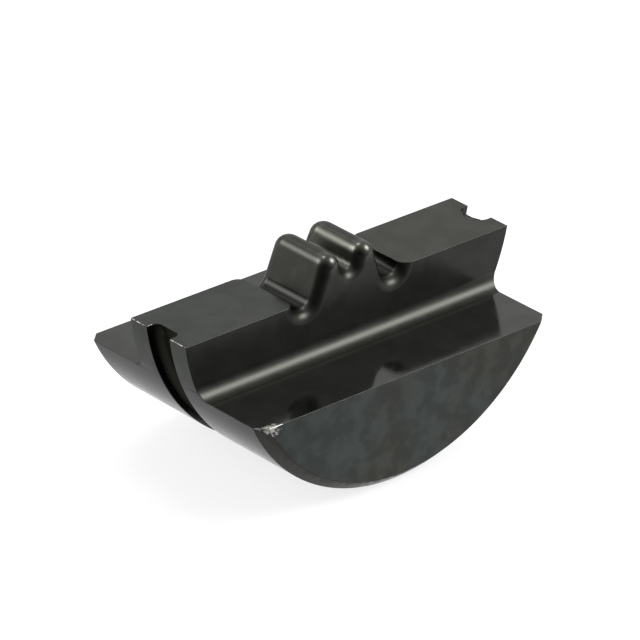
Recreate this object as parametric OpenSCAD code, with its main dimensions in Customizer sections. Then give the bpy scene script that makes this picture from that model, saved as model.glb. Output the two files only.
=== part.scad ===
// Indent crimp die, the indentor half of a pair, machined from one piece of hardened steel.
// Sizes are in millimetres. X runs along the rib, Y along the axis of the round back, Z is up.
// The origin is under the middle of the die, at the lowest point of its round back.

/* [Round back] */
// Radius of the round back that sits in the tool's saddle
seat_r = 21; // [19:0.5:26]
// Thickness of the die along the axis of the round back
body_w = 24.5; // [20:0.5:32]
// Chamfer between the round back and each flat side
rim_chamfer = 1; // [0.4:0.1:2]

/* [Rim groove] */
// Width of the retaining groove around the round back
groove_w = 3.2; // [2:0.1:5]
// Depth of the retaining groove under the round back
groove_depth = 1.4; // [0.6:0.1:2.4]
// Radius in the bottom corners of the groove
groove_corner_r = 0.8; // [0.2:0.1:1]

/* [Ledges and rib] */
// Height of the two ledges over the lowest point of the round back
ledge_h = 11.5; // [9:0.5:14]
// Height of the flat top of the rib over the lowest point of the round back
rib_h = 17.5; // [15.5:0.5:19.5]
// Width of the rib across its two walls
rib_w = 7.8; // [6:0.1:11]
// Fillet between each rib wall and its ledge
root_r = 1.5; // [0.6:0.1:2.5]

/* [Indentor] */
// Distance between the crests of the two teeth
tooth_pitch = 4.45; // [3.8:0.05:5.4]
// Height of the crests over the flat top of the rib
tooth_h = 3.55; // [2.8:0.05:4.5]
// Radius of each crest
crest_r = 1.25; // [1:0.05:1.5]
// Lean of the outer flanks from the vertical, in degrees
flank_lean = 18.5; // [12:0.5:26]
// Height of the bottom of the valley between the teeth over the flat top of the rib
valley_h = 1.25; // [0.6:0.05:1.8]
// Radius of the valley between the teeth
valley_r = 0.9; // [0.5:0.05:1.1]
// Distance between the outer walls of the two side troughs
trough_span = 14; // [12.6:0.1:16]
// Depth of the side troughs under the flat top of the rib
trough_depth = 1.25; // [0.8:0.05:2]
// Radius in the bottom corners of the side troughs
trough_r = 1.25; // [0.5:0.05:1.5]
// Radius that rolls the valley and the troughs over into the front and back walls of the rib
lip_r = 1.15; // [0.5:0.05:1.3]
// Radius that rolls the front ends of the two crests over
crest_front_r = 1.2; // [0.9:0.05:1.8]
// Radius that rolls the back ends of the two crests over
crest_back_r = 1.6; // [0.9:0.05:1.8]

/* [Hidden] */
$fn = 180;

// Facets in a full turn of the small radii
fine = 48;
steel = [0.17, 0.175, 0.17];

// How far a cutting body reaches past the surface that it cuts
past = 1;

// Centre of a crest in the section across the teeth, and the tilt of the outer flank's normal
tooth_x = tooth_pitch / 2;
crest_z = tooth_h - crest_r;
outer_turn = 90 - flank_lean;

// The valley's radius is held under the room that the two crests leave between them
valley_fit = min(valley_r, 0.95 * (tooth_x - crest_r));
valley_z = valley_h + valley_fit;

// Tilt of the inner flank's normal, once a crest has dropped by a distance
function inner_turn(drop) =
    let (rise = crest_z - drop - valley_z)
    atan2(rise, tooth_x) + asin((crest_r + valley_fit) / norm([tooth_x, rise]));

// Distance of the outer flank from the section's origin along the flank's normal, after such a drop
function flank_reach(drop) = tooth_x * sin(outer_turn) + (crest_z - drop) * cos(outer_turn) + crest_r;

// The trough's corners are held under half of its own width
trough_wall = trough_span / 2;
trough_foot = (flank_reach(0) + trough_depth * cos(outer_turn)) / sin(outer_turn);
trough_fit = min(trough_r, 0.95 * (trough_wall - trough_foot) / (1 + tan(outer_turn / 2)));
trough_z = trough_fit - trough_depth;
trough_out_x = trough_wall - trough_fit;
function trough_in_x(drop) = (flank_reach(drop) + trough_fit - trough_z * cos(outer_turn)) / sin(outer_turn);

// The lip's radius is held under the crest's, so the crest keeps a rounded end
lip_fit = min(lip_r, 0.92 * crest_r);

// What the crests' ends roll over by beyond the rest of the lip
front_extra = crest_front_r - lip_fit;
back_extra = crest_back_r - lip_fit;

// Angle between neighbouring points of the tooth form, and number of steps in the lip's quarter turn
form_step = 9;
lip_steps = 8;

// Height of the cutting body's flat top over the rib
top_z = tooth_h + 2 * past;

// Unit vector in the section, tilted from the vertical by an angle
function lean(angle) = [sin(angle), cos(angle)];

// Points of an arc about a centre, each with its share in the crests' extra roll. A negative radius
// gives the hollow side, and the full turn sets the number of points
function arc(centre, radius, from, to, full, share) =
    let (count = ceil(full / form_step))
    [for (i = [0 : count]) let (p = centre + radius * lean(from + (to - from) * i / count)) [p[0], p[1], share]];

// Right half of the tooth form, sunk by a distance into the metal, with its crest dropped by another
function half_form(sunk, drop) =
    let (inner = inner_turn(drop), low = -(trough_fit + sunk), full = inner_turn(0))
    concat(
        arc([0, valley_z], -(valley_fit + sunk), 0, -inner, full, 0),
        arc([tooth_x, crest_z - drop], crest_r - sunk, -inner, outer_turn, full + outer_turn, 1),
        arc([trough_in_x(drop), trough_z], low, outer_turn, 0, outer_turn, 0),
        arc([trough_out_x, trough_z], low, 0, -90, 90, 0)
    );

// The other half is the mirror image, without the middle point that both share
function mirrored(points) = [for (i = [len(points) - 1 : -1 : 1]) [-points[i][0], points[i][1], points[i][2]]];

// Closed section of the cutting body at a turn of the lip, from 0 at the wall to 90 in the full form:
// the tooth form below, and a flat top clear of the crests. The side is -1 in front and 1 behind,
// and out moves the section clear of the wall
function form_section(turn, side, out) =
    let (
        depth = 1 - sin(turn),
        extra = side < 0 ? front_extra : back_extra,
        sunk = lip_fit * depth,
        right = half_form(sunk, extra * depth),
        wall = trough_wall + sunk,
        outline = concat([[-wall, top_z, 0]], mirrored(right), right, [[wall, top_z, 0]])
    )
    [for (p = outline) [p[0], side * (rib_w / 2 + out - (lip_fit + extra * p[2]) * (1 - cos(turn))), p[1]]];

// Sections along Y, from clear of the front wall to clear of the back wall
lip_turn = [for (i = [0 : lip_steps]) 90 * i / lip_steps];
form_run = concat(
    [form_section(0, -1, past)],
    [for (a = lip_turn) form_section(a, -1, 0)],
    [for (i = [lip_steps : -1 : 0]) form_section(lip_turn[i], 1, 0)],
    [form_section(0, 1, past)]
);

// Solid skin lofted over a row of sections that all have the same number of points
module skin(sections) {
    count = len(sections[0]);
    last = len(sections) - 1;
    sides = [
        for (s = [0 : last - 1], i = [0 : count - 1])
        let (j = (i + 1) % count)
        [s * count + i, s * count + j, (s + 1) * count + j, (s + 1) * count + i]
    ];
    near_end = [for (i = [count - 1 : -1 : 0]) i];
    far_end = [for (i = [0 : count - 1]) last * count + i];
    polyhedron(points = [for (s = sections) each s], faces = concat(sides, [near_end, far_end]));
}

// Everything above the tooth form, with both lips rolled over
module tooth_form_cut() {
    translate([0, 0, rib_h])
        skin(form_run);
}

// Turns a section drawn in radius and width about the axis of the round back
module about_seat_axis() {
    translate([0, 0, seat_r])
        rotate([90, 0, 0])
            rotate_extrude()
                children();
}

// Full disc with both rims chamfered
module chamfered_disc() {
    about_seat_axis()
        polygon([
            [0, -body_w / 2],
            [seat_r - rim_chamfer, -body_w / 2],
            [seat_r, rim_chamfer - body_w / 2],
            [seat_r, body_w / 2 - rim_chamfer],
            [seat_r - rim_chamfer, body_w / 2],
            [0, body_w / 2]
        ]);
}

// Ring that cuts the retaining groove, with rounded bottom corners
module groove_ring() {
    floor_r = seat_r - groove_depth;
    reach = groove_depth + past;
    about_seat_axis() {
        translate([floor_r, groove_corner_r - groove_w / 2])
            square([reach, groove_w - 2 * groove_corner_r]);
        translate([floor_r + groove_corner_r, -groove_w / 2])
            square([reach - groove_corner_r, groove_w]);
        for (side = [-1, 1])
            translate([floor_r + groove_corner_r, side * (groove_w / 2 - groove_corner_r)])
                circle(groove_corner_r, $fn = fine);
    }
}

// Half section across the ledge and the rib, with the root fillet
module half_section() {
    square([body_w / 2 + past, ledge_h]);
    difference() {
        square([rib_w / 2 + root_r, ledge_h + root_r]);
        translate([rib_w / 2 + root_r, ledge_h + root_r])
            circle(root_r, $fn = fine);
    }
    polygon([
        [0, 0],
        [rib_w / 2, 0],
        [rib_w / 2, rib_h],
        [0, rib_h]
    ]);
}

// Bar with that section, long enough to cross the disc
module stepped_bar() {
    rotate([90, 0, 90])
        translate([0, 0, -seat_r])
            linear_extrude(2 * seat_r) {
                half_section();
                mirror([1, 0])
                    half_section();
            }
}

// Block on the middle of the rib that the teeth are cut from
module tooth_block() {
    translate([-trough_out_x, -rib_w / 2, ledge_h])
        cube([2 * trough_out_x, rib_w, rib_h + tooth_h + past - ledge_h]);
}

module indent_die() {
    color(steel)
        difference() {
            intersection() {
                chamfered_disc();
                union() {
                    stepped_bar();
                    tooth_block();
                }
            }
            groove_ring();
            tooth_form_cut();
        }
}

indent_die();
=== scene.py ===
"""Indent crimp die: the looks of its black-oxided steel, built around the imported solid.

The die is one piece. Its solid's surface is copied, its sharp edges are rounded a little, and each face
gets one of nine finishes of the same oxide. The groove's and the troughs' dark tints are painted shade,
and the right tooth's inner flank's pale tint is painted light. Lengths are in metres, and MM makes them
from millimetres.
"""

import math

import bmesh
import bpy
from mathutils import Matrix, Quaternion, Vector


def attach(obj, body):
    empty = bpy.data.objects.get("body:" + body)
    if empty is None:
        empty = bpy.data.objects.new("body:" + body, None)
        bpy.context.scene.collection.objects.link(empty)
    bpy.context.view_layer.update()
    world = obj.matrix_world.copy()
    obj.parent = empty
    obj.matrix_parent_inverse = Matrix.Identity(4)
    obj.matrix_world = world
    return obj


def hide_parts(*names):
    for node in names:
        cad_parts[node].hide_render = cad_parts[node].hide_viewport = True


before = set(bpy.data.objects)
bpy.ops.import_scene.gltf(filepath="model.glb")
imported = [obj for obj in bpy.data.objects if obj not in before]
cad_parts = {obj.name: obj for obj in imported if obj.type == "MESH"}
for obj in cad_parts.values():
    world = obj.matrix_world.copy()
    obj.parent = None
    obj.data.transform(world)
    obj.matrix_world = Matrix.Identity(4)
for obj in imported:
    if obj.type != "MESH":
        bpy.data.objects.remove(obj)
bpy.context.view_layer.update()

MM = 0.001
WHITE = (1, 1, 1, 1)


def add_node(tree, kind, inputs=None, **settings):
    """A node of that kind, with its settings and its inputs, each a value or another node's output."""
    node = tree.nodes.new(kind)
    for name, value in settings.items():
        setattr(node, name, value)
    for name, value in (inputs or {}).items():
        socket = node.inputs[name]
        if isinstance(value, bpy.types.NodeSocket):
            tree.links.new(value, socket)
        else:
            socket.default_value = value
    return node


def maths(tree, operation, *values):
    """The output of a Math node."""
    return add_node(tree, "ShaderNodeMath", dict(enumerate(values)), operation=operation).outputs[0]


def greatest(tree, masks):
    """The greatest of a row of masks."""
    top = masks[0]
    for mask in masks[1:]:
        top = maths(tree, "MAXIMUM", top, mask)
    return top


def reach_along(tree, vector, way):
    """How far a vector reaches along a unit direction."""
    dot = add_node(tree, "ShaderNodeVectorMath", {0: vector, 1: way}, operation="DOT_PRODUCT")
    return dot.outputs["Value"]


def ramp(tree, value, start, end, low, high):
    """A number that goes softly from low to high while the value goes from start to end."""
    return add_node(
        tree,
        "ShaderNodeMapRange",
        {"Value": value, "From Min": start, "From Max": end, "To Min": low, "To Max": high},
        clamp=True,
        interpolation_type="SMOOTHSTEP",
    ).outputs["Result"]


def mix_numbers(tree, share, first, second):
    """Two numbers mixed by a share."""
    return add_node(tree, "ShaderNodeMix", {0: share, 2: first, 3: second}, data_type="FLOAT").outputs[0]


def mix_colours(tree, share, first, second):
    """Two colours mixed by a share."""
    return add_node(tree, "ShaderNodeMix", {0: share, 6: first, 7: second}, data_type="RGBA").outputs[2]


def new_material(name):
    """An empty node material and its output node."""
    material = bpy.data.materials.new(name)
    material.use_nodes = True
    material.node_tree.nodes.clear()
    return material, material.node_tree.nodes.new("ShaderNodeOutputMaterial")


CAMERA_PLACE = Vector((-331.8, -347.0, 257.8)) * MM
CAMERA_AIM = Vector((1.02, 1.12, 11.47)) * MM
CAMERA_ROLL = math.radians(2.494)
CAMERA_LENS = 318.85
CAMERA_SENSOR = 36
CAMERA_NEAR_CLIP = 0.01


def place_camera():
    """The photograph's long lens, in front of the die, to its left and above it."""
    data = bpy.data.cameras.new("camera")
    data.lens = CAMERA_LENS
    data.sensor_width = CAMERA_SENSOR
    data.clip_start = CAMERA_NEAR_CLIP
    camera = bpy.data.objects.new("camera", data)
    way = (CAMERA_AIM - CAMERA_PLACE).to_track_quat("-Z", "Y")
    turn = Quaternion((0, 0, 1), CAMERA_ROLL)
    camera.matrix_world = Matrix.Translation(CAMERA_PLACE) @ (way @ turn).to_matrix().to_4x4()
    bpy.context.scene.collection.objects.link(camera)
    bpy.context.scene.camera = camera


def heading(azimuth, height):
    """Unit vector at an angle from +Y round to +X and a height over the horizon, both in degrees."""
    turn, rise = math.radians(azimuth), math.radians(height)
    return (math.sin(turn) * math.cos(rise), math.cos(turn) * math.cos(rise), math.sin(rise))


# Soft lights of the studio: the azimuth and the height of each one's middle and the reach of its soft
# edge, all in degrees, and its strength
SOFT_LIGHTS = {
    "key": (128, 40, 9.0, 14.0),
    "back": (-42, 30, 8.0, 11.5),
    "top": (5, 66, 6.0, 9.0),
    "left": (-54, 0, 12.0, 0.5),
    "backdrop": (46, 18, 20.0, 0.82),
}

# The room is pale from the direction behind the die, and dark on the camera's side
ROOM_BACK = heading(50, 0)
ROOM_FALL = (-0.95, 0.0)
ROOM_LIGHT = (0.03, 0.55)


def soft_light(tree, way, azimuth, height, reach, strength):
    """Brightness of a round soft-edged light in each direction."""
    apart = maths(tree, "SUBTRACT", reach_along(tree, way, heading(azimuth, height)), 1.0)
    fall = maths(tree, "DIVIDE", apart, math.radians(reach) ** 2)
    return maths(tree, "MULTIPLY", maths(tree, "EXPONENT", fall), strength)


def light_studio():
    """The soft lights in their room. The camera sees it all as a plain white backdrop."""
    world = bpy.data.worlds.new("studio")
    world.use_nodes = True
    tree = world.node_tree
    tree.nodes.clear()
    out = tree.nodes.new("ShaderNodeOutputWorld")
    way = add_node(tree, "ShaderNodeTexCoord").outputs["Generated"]
    light = ramp(tree, reach_along(tree, way, ROOM_BACK), *ROOM_FALL, *ROOM_LIGHT)
    for azimuth, height, reach, strength in SOFT_LIGHTS.values():
        light = maths(tree, "ADD", light, soft_light(tree, way, azimuth, height, reach, strength))
    seen = add_node(tree, "ShaderNodeLightPath").outputs["Is Camera Ray"]
    brightness = mix_numbers(tree, seen, light, 1.0)
    studio = add_node(tree, "ShaderNodeBackground", {"Color": WHITE, "Strength": brightness})
    tree.links.new(studio.outputs[0], out.inputs["Surface"])
    bpy.context.scene.world = world


FLOOR_HALF_SIDE = 3.0

# Grey of the floor's paint, and the light that lifts it to white for the camera and keeps a soft shadow
FLOOR_PAINT = (0.3, 0.3, 0.3, 1)
FLOOR_LIFT = 0.8

# In reflections the floor is white by the die, dark towards the camera and a little brighter on the left
FLOOR_FRONT = heading(-136, 0)
FRONT_RUN = (13 * MM, 42 * MM)
FRONT_WHITE = (1.0, 0.12)
FLOOR_LEFT = heading(-42, 0)
LEFT_RUN = (-15 * MM, 25 * MM)
LEFT_WHITE = (1.0, 1.25)


def pale_floor():
    """Plain white floor with a light shadow, and its own look in reflections."""
    material, out = new_material("pale_floor")
    tree = material.node_tree
    path = add_node(tree, "ShaderNodeLightPath").outputs
    place = add_node(tree, "ShaderNodeTexCoord").outputs["Object"]
    front = ramp(tree, reach_along(tree, place, FLOOR_FRONT), *FRONT_RUN, *FRONT_WHITE)
    left = ramp(tree, reach_along(tree, place, FLOOR_LEFT), *LEFT_RUN, *LEFT_WHITE)
    paint = add_node(tree, "ShaderNodeBsdfDiffuse", {"Color": FLOOR_PAINT})
    lift = maths(tree, "MULTIPLY", path["Is Camera Ray"], FLOOR_LIFT)
    glow = add_node(tree, "ShaderNodeEmission", {"Color": WHITE, "Strength": lift})
    plain = add_node(tree, "ShaderNodeAddShader", {0: paint.outputs[0], 1: glow.outputs[0]})
    white = maths(tree, "MULTIPLY", front, left)
    mirrored = add_node(tree, "ShaderNodeEmission", {"Color": WHITE, "Strength": white})
    looks = {0: path["Is Glossy Ray"], 1: plain.outputs[0], 2: mirrored.outputs[0]}
    both = add_node(tree, "ShaderNodeMixShader", looks)
    tree.links.new(both.outputs[0], out.inputs["Surface"])
    return material


def lay_floor():
    """A wide plain floor under the die."""
    shape = bmesh.new()
    bmesh.ops.create_grid(shape, x_segments=1, y_segments=1, size=FLOOR_HALF_SIDE)
    mesh = bpy.data.meshes.new("floor")
    shape.to_mesh(mesh)
    shape.free()
    mesh.materials.append(pale_floor())
    floor = bpy.data.objects.new("floor", mesh)
    bpy.context.scene.collection.objects.link(floor)


# Places where handling has rubbed the oxide: the middle and the reach in millimetres, and how far gone it
# is there. A finish's own wear adds to that, so the places at 0 or less show on the edges alone
RUBBED_PLACES = [
    ((-20.6, 2.9, 17.5), 2.4, 0.0),
    ((-20.6, -2.8, 17.5), 2.0, 0.0),
    ((-18.4, -11.7, 11.5), 0.7, 0.46),
    ((-17.5, -12.1, 11.4), 1.1, 0.56),
    ((-16.7, -12.2, 11.2), 1.2, 0.46),
    ((18.6, -11.7, 11.5), 2.6, -0.06),
]

# Ends of the crests, which crimping has burnished: the middle and the reach in millimetres
BURNISHED_PLACES = [((x, y, 20.6), 1.7) for y in (-3.3, 3.3) for x in (-2.2, 2.2)]
BURNISH_SHADE = 0.7
BURNISH_ROUGHNESS = -0.14

# Share of its reach up to which the mask around a place is full
FULL_REACH = 0.3

# Noise in the oxide: waves per metre, octaves of detail, and how rough they are
NOISES = {
    "cloud": (420.0, 4.0, 0.6),
    "drift": (110.0, 3.0, 0.5),
    "grit": (2600.0, 4.0, 0.65),
    "grain": (7000.0, 2.0, 0.5),
}
GRAIN_SHARE = 0.4

# The clouds' edge and what it adds to the roughness
CLOUD_EDGE = (0.4, 0.6)
CLOUD_ROUGHNESS = 0.04

# The second tint comes in where the drift is high, and more towards the left end
TINT_TO_RIGHT = -0.011 / MM
TINT_EDGE = (0.42, 0.60)

# Rubbing and grit together bare the steel across this edge
BARE_EDGE = (0.88, 1.08)
BARE_STEEL = (0.55, 0.54, 0.51, 1)
BARE_ROUGHNESS = 0.35

# The oxide is nearly a metal, and keeps this much of its gloss where it is seen at a slant
OXIDE_METALLIC = 0.95
SLANT_GLOSS = (0.6, 0.6, 0.6, 1)
GRAIN_DEPTH = 0.01 * MM


def noise(group, place, waves, detail, roughness):
    """Noise of that many waves per metre."""
    settings = {"Vector": place, "Scale": waves, "Detail": detail, "Roughness": roughness}
    return add_node(group, "ShaderNodeTexNoise", settings).outputs["Fac"]


def nearest(group, place, middle, reach):
    """A mask that is full around a point and fades out at its reach, both in millimetres."""
    points = {0: place, 1: Vector(middle) * MM}
    gap = add_node(group, "ShaderNodeVectorMath", points, operation="DISTANCE").outputs["Value"]
    return ramp(group, gap, FULL_REACH * reach * MM, reach * MM, 1.0, 0.0)


def rubbed_mask(group, place, wear, grit):
    """A mask of the places where the oxide is rubbed through to the steel, with torn edges."""
    spots = []
    for middle, reach, gone in RUBBED_PLACES:
        depth = maths(group, "ADD", wear, gone)
        spots.append(maths(group, "MULTIPLY", nearest(group, place, middle, reach), depth))
    return ramp(group, maths(group, "ADD", greatest(group, spots), grit), *BARE_EDGE, 0.0, 1.0)


def oxide_group():
    """Shader group of the oxide: its colour, its shine and its height, with the places rubbed bare."""
    group = bpy.data.node_groups.new("oxide", "ShaderNodeTree")
    for way, name, kind in (
        ("INPUT", "First Tint", "NodeSocketColor"),
        ("INPUT", "Second Tint", "NodeSocketColor"),
        ("INPUT", "Roughness", "NodeSocketFloat"),
        ("INPUT", "Wear", "NodeSocketFloat"),
        ("INPUT", "Patchy", "NodeSocketFloat"),
        ("OUTPUT", "Color", "NodeSocketColor"),
        ("OUTPUT", "Roughness", "NodeSocketFloat"),
        ("OUTPUT", "Metallic", "NodeSocketFloat"),
        ("OUTPUT", "Height", "NodeSocketFloat"),
    ):
        group.interface.new_socket(name, in_out=way, socket_type=kind)
    given = group.nodes.new("NodeGroupInput").outputs
    place = add_node(group, "ShaderNodeTexCoord").outputs["Object"]
    cloud, drift, grit, grain = (noise(group, place, *values) for values in NOISES.values())

    right = add_node(group, "ShaderNodeSeparateXYZ", {"Vector": place}).outputs["X"]
    change = maths(group, "MULTIPLY_ADD", right, TINT_TO_RIGHT, drift)
    tint_share = ramp(group, change, *TINT_EDGE, 0.0, 1.0)
    tint = mix_colours(group, tint_share, given["First Tint"], given["Second Tint"])

    patch = ramp(group, cloud, *CLOUD_EDGE, 0.0, 1.0)
    patch_depth = maths(group, "SUBTRACT", patch, 0.5)
    burnish = greatest(group, [nearest(group, place, *spot) for spot in BURNISHED_PLACES])
    patchy = maths(group, "MULTIPLY_ADD", patch_depth, given["Patchy"], 1.0)
    shade = maths(group, "MULTIPLY", patchy, maths(group, "MULTIPLY_ADD", burnish, BURNISH_SHADE, 1.0))
    shaded = add_node(group, "ShaderNodeVectorMath", {0: tint, 3: shade}, operation="SCALE")
    matt = maths(group, "MULTIPLY_ADD", patch, CLOUD_ROUGHNESS, given["Roughness"])
    matt = maths(group, "MULTIPLY_ADD", burnish, BURNISH_ROUGHNESS, matt)

    bare = rubbed_mask(group, place, given["Wear"], grit)
    results = {
        "Color": mix_colours(group, bare, shaded.outputs["Vector"], BARE_STEEL),
        "Roughness": mix_numbers(group, bare, matt, BARE_ROUGHNESS),
        "Metallic": mix_numbers(group, bare, OXIDE_METALLIC, 1.0),
        "Height": maths(group, "MULTIPLY_ADD", grain, GRAIN_SHARE, grit),
    }
    add_node(group, "NodeGroupOutput", results)
    return group


def oxide_material(name, group, first_tint, second_tint, roughness, wear, patchy, relief):
    """Black oxide of one finish, from the shared oxide group. The groove's and the troughs' tints are
    painted shade, and the inner flank's tint is painted light.
    """
    material, out = new_material(name)
    tree = material.node_tree
    values = {
        "First Tint": first_tint,
        "Second Tint": second_tint,
        "Roughness": roughness,
        "Wear": wear,
        "Patchy": patchy,
    }
    oxide = add_node(tree, "ShaderNodeGroup", node_tree=group)
    for socket, value in values.items():
        oxide.inputs[socket].default_value = value
    heights = {"Height": oxide.outputs["Height"], "Strength": relief, "Distance": GRAIN_DEPTH}
    bump = add_node(tree, "ShaderNodeBump", heights)
    steel = add_node(
        tree,
        "ShaderNodeBsdfPrincipled",
        {
            "Base Color": oxide.outputs["Color"],
            "Metallic": oxide.outputs["Metallic"],
            "Roughness": oxide.outputs["Roughness"],
            "Specular Tint": SLANT_GLOSS,
            "Normal": bump.outputs["Normal"],
        },
    )
    tree.links.new(steel.outputs[0], out.inputs["Surface"])
    return material


OLIVE = (0.0550, 0.0565, 0.0500, 1)
GREY_GREEN = (0.0530, 0.0560, 0.0530, 1)
BLUE_GREEN = (0.0545, 0.0615, 0.0590, 1)
LEDGE_OLIVE = (0.0680, 0.0690, 0.0640, 1)
DARK_OLIVE = (0.0430, 0.0440, 0.0415, 1)
# Painted light: a paler tint for the right tooth's inner flank, standing in for the light that flank
# reflects
PAINTED_LIGHT_OLIVE = (0.0860, 0.0880, 0.0750, 1)
# Painted shade: a darker tint for the troughs beside the teeth, which dims the highlights in them
PAINTED_SHADE_OLIVE = (0.0215, 0.0220, 0.0195, 1)
# Painted shade: a near-black tint for the groove in the round back, where the recess is in shade
GROOVE_PAINTED_SHADE_BLACK = (0.0210, 0.0215, 0.0165, 1)
EDGE_GREY = (0.045, 0.046, 0.042, 1)

# Finishes of the oxide: its two tints, roughness and wear, how patchy it is and how strong its grain is.
# The groove's and the troughs' dark tints are painted shade, and the right tooth's inner flank's pale
# tint is painted light
FINISHES = {
    "milled": (OLIVE, OLIVE, 0.36, 0.0, 0.15, 0.40),
    "ground": (OLIVE, GREY_GREEN, 0.17, 0.0, 0.16, 0.06),
    "side": (OLIVE, BLUE_GREEN, 0.18, 0.0, 0.28, 0.06),
    "wall": (DARK_OLIVE, DARK_OLIVE, 0.22, 0.0, 0.16, 0.06),
    "ledge": (LEDGE_OLIVE, LEDGE_OLIVE, 0.09, 0.0, 0.12, 0.03),
    "flank": (PAINTED_LIGHT_OLIVE, PAINTED_LIGHT_OLIVE, 0.36, 0.0, 0.15, 0.40),
    "groove": (GROOVE_PAINTED_SHADE_BLACK, GROOVE_PAINTED_SHADE_BLACK, 0.5, -1.0, 0.10, 0.3),
    "trough": (PAINTED_SHADE_OLIVE, PAINTED_SHADE_OLIVE, 0.28, 0.0, 0.15, 0.3),
    "edge": (EDGE_GREY, EDGE_GREY, 0.3, 0.5, 0.20, 0.2),
}
SLOTS = list(FINISHES)

# Rounding of the sharp edges, and the weight at which the large faces alone set the shading around them
EDGE_ANGLE = math.radians(25)
EDGE_WIDTH = 0.06 * MM
EDGE_SEGMENTS = 2
LARGE_FACE_WEIGHT = 100

# Points of the solid closer than this are one point, and faces that turn less than this are one face
DOUBLES_GAP = 0.0002 * MM
FLAT_TURN = math.radians(0.3)

# Heights of the solid's forms over the floor
SEAT_AXIS = 21 * MM
LEDGE_TOP = 11.5 * MM
RIB_TOP = 17.5 * MM

# Radii about the axis of the round back, where the groove's faces lie and where those of the back start
GROOVE_RADII = (19 * MM, 20.8 * MM)
SEAT_FROM = 20.3 * MM

# Distances from the middle of the die, out through its thickness and along its rib
GROOVE_OUT = 1.62 * MM
TROUGH_OUT = 2.6 * MM
RIB_WALL = 3.9 * MM
SIDE_FROM = 12.2 * MM
GROOVE_FROM = 1 * MM
TROUGH_RUN = (4 * MM, 7.2 * MM)
FORM_END = 7.1 * MM
FLANK_END = 2.2 * MM

# Heights of the tooth form's feet over the rib's top
TROUGH_FOOT = -1.4 * MM
FORM_FOOT = -1.3 * MM
FLANK_FOOT = 1.2 * MM

# Room to tell a face or a point on a surface from one beside it
HAIR = 0.01 * MM
SKIN = 0.05 * MM

# Parts of a face's normal: the least along an axis that the face lies square to, the least to the left of
# a flank that faces left, and the most out of it
SQUARE = 0.9999
FLANK_LEFT = 0.5
FLANK_OUT = 0.1

# Where the groove breaks through the rib's top: how close to the top its points lie, how far along the
# rib they start, and the least step that is kept between them
MOUTH_GAP = 0.0005 * MM
MOUTH_FROM = 18 * MM
MOUTH_STEP = 0.12 * MM


def finish_of(face):
    """The finish of a face, told by where the face lies and which way it points."""
    middle, normal = face.calc_center_median(), face.normal
    along, out, over_rib = abs(middle.x), abs(middle.y), middle.z - RIB_TOP
    from_axis = math.hypot(middle.x, middle.z - SEAT_AXIS)
    in_groove = out < GROOVE_OUT and GROOVE_RADII[0] < from_axis < GROOVE_RADII[1]
    in_trough = out < TROUGH_OUT and TROUGH_RUN[0] < along < TROUGH_RUN[1]
    in_form = out < RIB_WALL - HAIR and along < FORM_END and over_rib > FORM_FOOT
    faces_left = normal.x < -FLANK_LEFT and abs(normal.y) < FLANK_OUT
    # Groove faces get the near-black tint, which is painted shade
    if in_groove and along > GROOVE_FROM and over_rib < -SKIN:
        return "groove"
    # Trough faces get the darker tint, which is painted shade
    if in_trough and TROUGH_FOOT < over_rib < -SKIN:
        return "trough"
    if out > SIDE_FROM:
        return "side"
    if abs(normal.y) > SQUARE and out > RIB_WALL - HAIR:
        return "wall"
    if normal.z > SQUARE and middle.z < LEDGE_TOP + SKIN:
        return "ledge"
    # The right tooth's inner flank gets the paler tint, which is painted light
    if over_rib > FLANK_FOOT and along < FLANK_END and faces_left:
        return "flank"
    if from_axis > SEAT_FROM or (max(abs(part) for part in normal) > SQUARE and not in_form):
        return "ground"
    return "milled"


def at_groove_mouth(vert):
    """True for a point of the rib's top where the groove breaks through it."""
    x, y, z = vert.co
    return abs(z - RIB_TOP) < MOUTH_GAP and abs(y) < GROOVE_OUT and abs(x) > MOUTH_FROM


def die_mesh():
    """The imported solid's own surface, with its doubles merged and a finish on each face."""
    shape = bmesh.new()
    shape.from_mesh(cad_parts["indent_die"].data)
    bmesh.ops.remove_doubles(shape, verts=shape.verts, dist=DOUBLES_GAP)
    mouth = [vert for vert in shape.verts if at_groove_mouth(vert)]
    bmesh.ops.remove_doubles(shape, verts=mouth, dist=MOUTH_STEP)
    bmesh.ops.dissolve_limit(
        shape, angle_limit=FLAT_TURN, verts=shape.verts, edges=shape.edges, use_dissolve_boundaries=False
    )
    shape.normal_update()
    for face in shape.faces:
        face.material_index = SLOTS.index(finish_of(face))
        face.smooth = True
    mesh = bpy.data.meshes.new("die_body")
    group = oxide_group()
    for name, finish in FINISHES.items():
        mesh.materials.append(oxide_material(f"{name}_oxide", group, *finish))
    shape.to_mesh(mesh)
    shape.free()
    return mesh


def finish_die():
    """The die as one piece, with its sharp edges rounded and its flats kept flat in the light."""
    die = bpy.data.objects.new("die_body", die_mesh())
    bpy.context.scene.collection.objects.link(die)
    edge = die.modifiers.new("edge", "BEVEL")
    edge.limit_method = "ANGLE"
    edge.angle_limit = EDGE_ANGLE
    edge.width = EDGE_WIDTH
    edge.segments = EDGE_SEGMENTS
    edge.use_clamp_overlap = False
    edge.material = SLOTS.index("edge")
    flat = die.modifiers.new("flat", "WEIGHTED_NORMAL")
    flat.weight = LARGE_FACE_WEIGHT
    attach(die, "root")
    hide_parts("indent_die")


place_camera()
lay_floor()
light_studio()
finish_die()

bpy.context.scene.view_settings.view_transform = "Standard"
